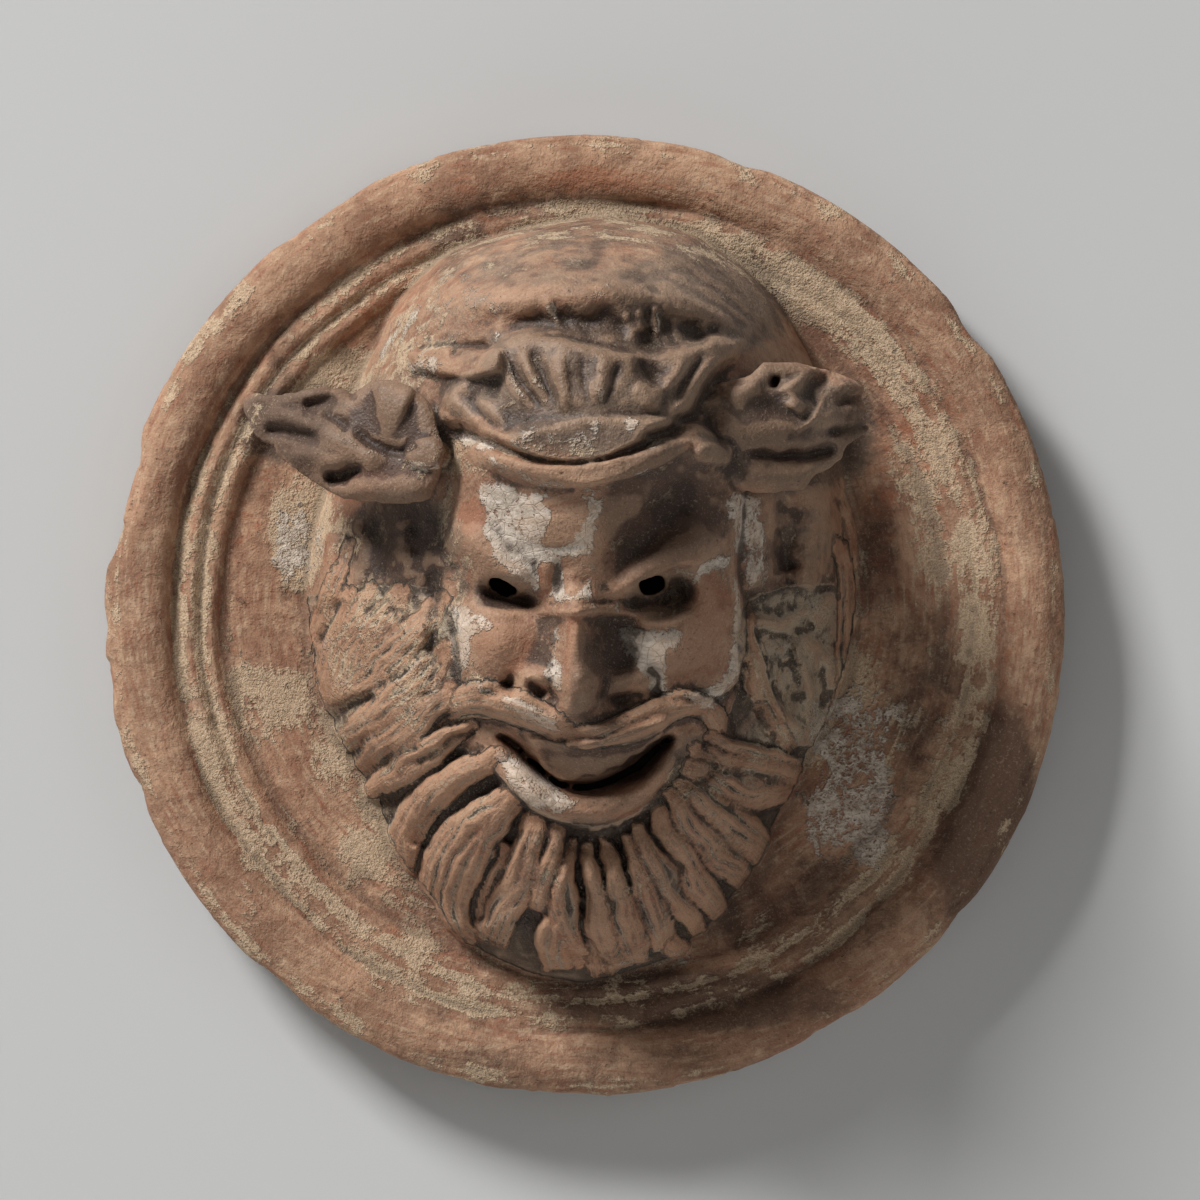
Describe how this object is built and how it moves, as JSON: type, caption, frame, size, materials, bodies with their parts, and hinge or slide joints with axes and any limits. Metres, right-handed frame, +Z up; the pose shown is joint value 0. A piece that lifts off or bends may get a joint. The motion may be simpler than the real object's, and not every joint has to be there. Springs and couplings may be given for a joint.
{
  "type": "relief roundel",
  "caption": "Round fired clay wall plaque with a hollow, bearded satyr's mask in high relief, pierced at eyes and mouth.",
  "frame": {"origin": "on the flat back at the wall fixing point, above the mask, on the disc's upright middle line", "axes": "+Z up, +X to the viewer's right, front of the roundel facing -Y, flat back on the plane y = 0 facing +Y"},
  "size_m": [0.4, 0.1616, 0.4],
  "materials": {
    "fired_clay": "matt"
  },
  "bodies": {
    "root": {"roundel": "fired_clay"}
  },
  "joints": []
}
